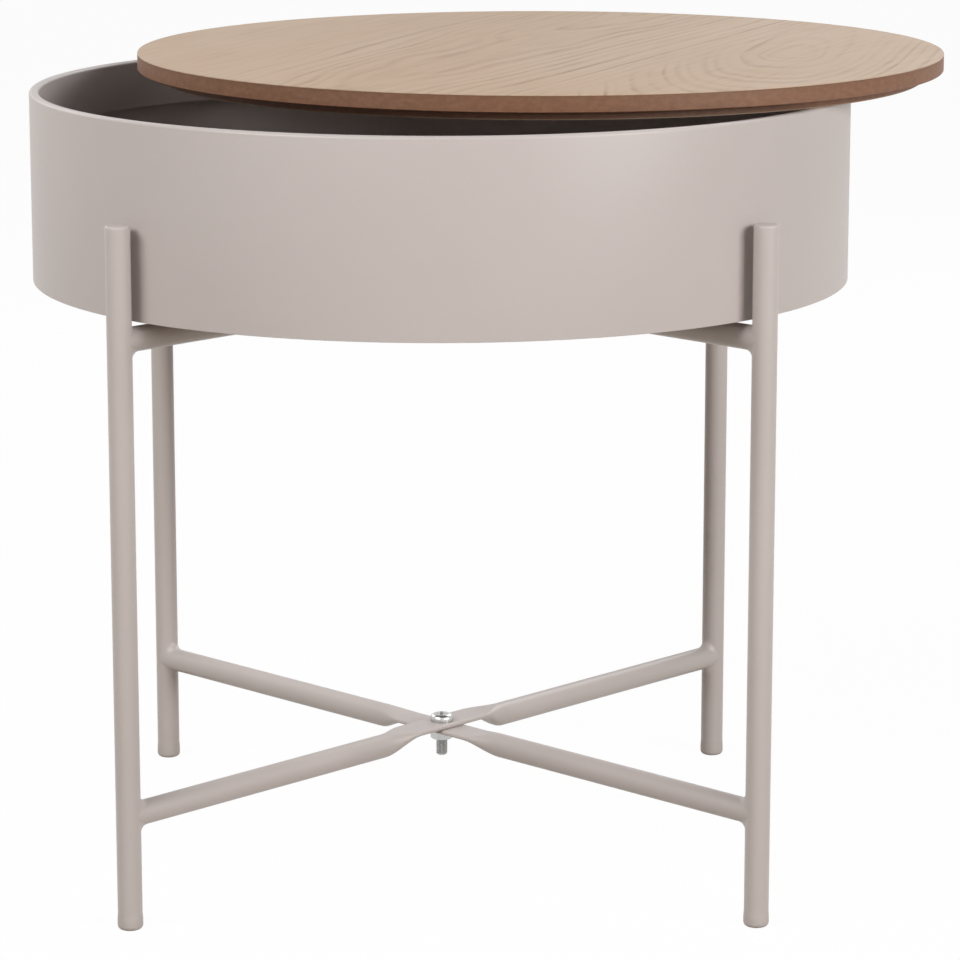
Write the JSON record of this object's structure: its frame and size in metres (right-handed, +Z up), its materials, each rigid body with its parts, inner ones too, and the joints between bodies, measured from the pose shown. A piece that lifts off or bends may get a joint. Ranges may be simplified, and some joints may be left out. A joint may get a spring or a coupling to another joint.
{
  "type": "storage side table",
  "caption": "Round steel tub on crossed tube legs, with a loose rabbeted wooden lid that lies pushed aside on the rim and lifts off to reach the storage inside.",
  "frame": {"origin": "on the floor, under the axis of the tub, at the middle of the four feet", "axes": "+Z up along the tub's axis, +Y to the back, +X to the right as seen from the front"},
  "size_m": [0.4624, 0.4624, 0.404],
  "materials": {
    "paint": "satin powder coat, warm grey beige",
    "foot_plastic": "matt, in the colour of the paint",
    "zinc": "bright zinc plate",
    "veneer": "pale limed wood, matt lacquer",
    "fibreboard": "raw brown fibreboard",
    "backing_veneer": "plain, matt"
  },
  "bodies": {
    "base": {"tub_wall": "paint", "tub_floor": "paint", "leg_front_left": "paint", "foot_cap_front_left": "foot_plastic", "top_cap_front_left": "paint", "upper_weld_front_left": "paint", "lower_weld_front_left": "paint", "leg_front_right": "paint", "foot_cap_front_right": "foot_plastic", "top_cap_front_right": "paint", "upper_weld_front_right": "paint", "lower_weld_front_right": "paint", "leg_back_right": "paint", "foot_cap_back_right": "foot_plastic", "top_cap_back_right": "paint", "upper_weld_back_right": "paint", "lower_weld_back_right": "paint", "leg_back_left": "paint", "foot_cap_back_left": "foot_plastic", "top_cap_back_left": "paint", "upper_weld_back_left": "paint", "lower_weld_back_left": "paint", "upper_crossbar_a": "paint", "upper_crossbar_b": "paint", "lower_crossbar_a": "paint", "lower_crossbar_b": "paint", "tub_washer": "zinc", "tub_bolt": "zinc", "tub_nut": "zinc", "cross_bolt": "zinc", "cross_nut": "zinc"},
    "lid": {"lid_backing": "backing_veneer", "lid_board": "fibreboard", "lid_veneer": "veneer"}
  },
  "joints": [
    {"name": "lid_lift", "type": "slide", "parent": "base", "child": "lid", "axis": [0, 0, 1], "range_m": [0, 0.15]}
  ]
}
